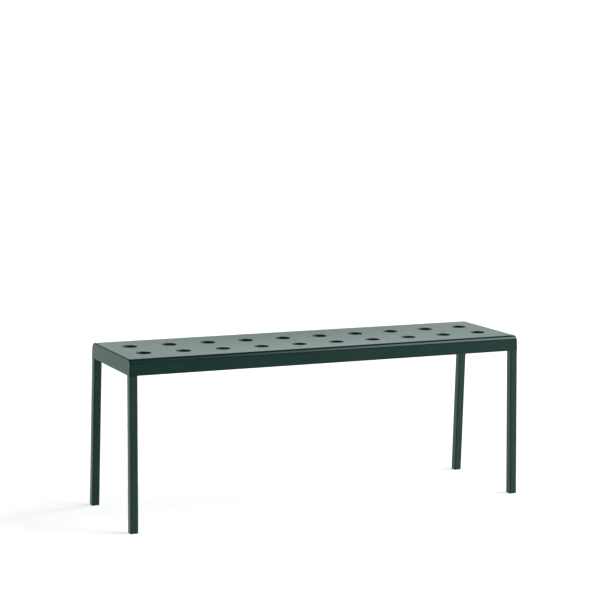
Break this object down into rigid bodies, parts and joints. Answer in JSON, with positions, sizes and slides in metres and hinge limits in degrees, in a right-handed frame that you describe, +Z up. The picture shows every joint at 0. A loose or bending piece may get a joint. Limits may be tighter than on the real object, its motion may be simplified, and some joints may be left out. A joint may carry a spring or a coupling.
{
  "type": "backless bench",
  "caption": "Slim backless bench with a perforated, slightly dished sheet-metal seat on splayed square legs, for outdoor or indoor seating",
  "frame": {"origin": "on the floor under the middle of the seat", "axes": "+X along the seat towards its right end as seen from the front, +Y from front to back, +Z up"},
  "size_m": [1.157, 0.333, 0.45],
  "materials": {
    "green_coat": "fine matt powder coat",
    "black_casting": "matt black",
    "zinc_steel": "satin zinc plate",
    "black_nylon": "matt"
  },
  "bodies": {
    "root": {"seat_sheet": "green_coat", "end_plate_left": "green_coat", "end_plate_right": "green_coat", "cross_rib_1": "green_coat", "cross_rib_2": "green_coat", "cross_rib_3": "green_coat", "leg_bolts": "zinc_steel", "leg_washers": "zinc_steel", "corner_socket_front_left": "green_coat", "leg_spigot_front_left": "black_casting", "leg_front_left": "green_coat", "foot_glide_front_left": "black_nylon", "corner_socket_front_right": "green_coat", "leg_spigot_front_right": "black_casting", "leg_front_right": "green_coat", "foot_glide_front_right": "black_nylon", "corner_socket_back_left": "green_coat", "leg_spigot_back_left": "black_casting", "leg_back_left": "green_coat", "foot_glide_back_left": "black_nylon", "corner_socket_back_right": "green_coat", "leg_spigot_back_right": "black_casting", "leg_back_right": "green_coat", "foot_glide_back_right": "black_nylon"}
  },
  "joints": []
}
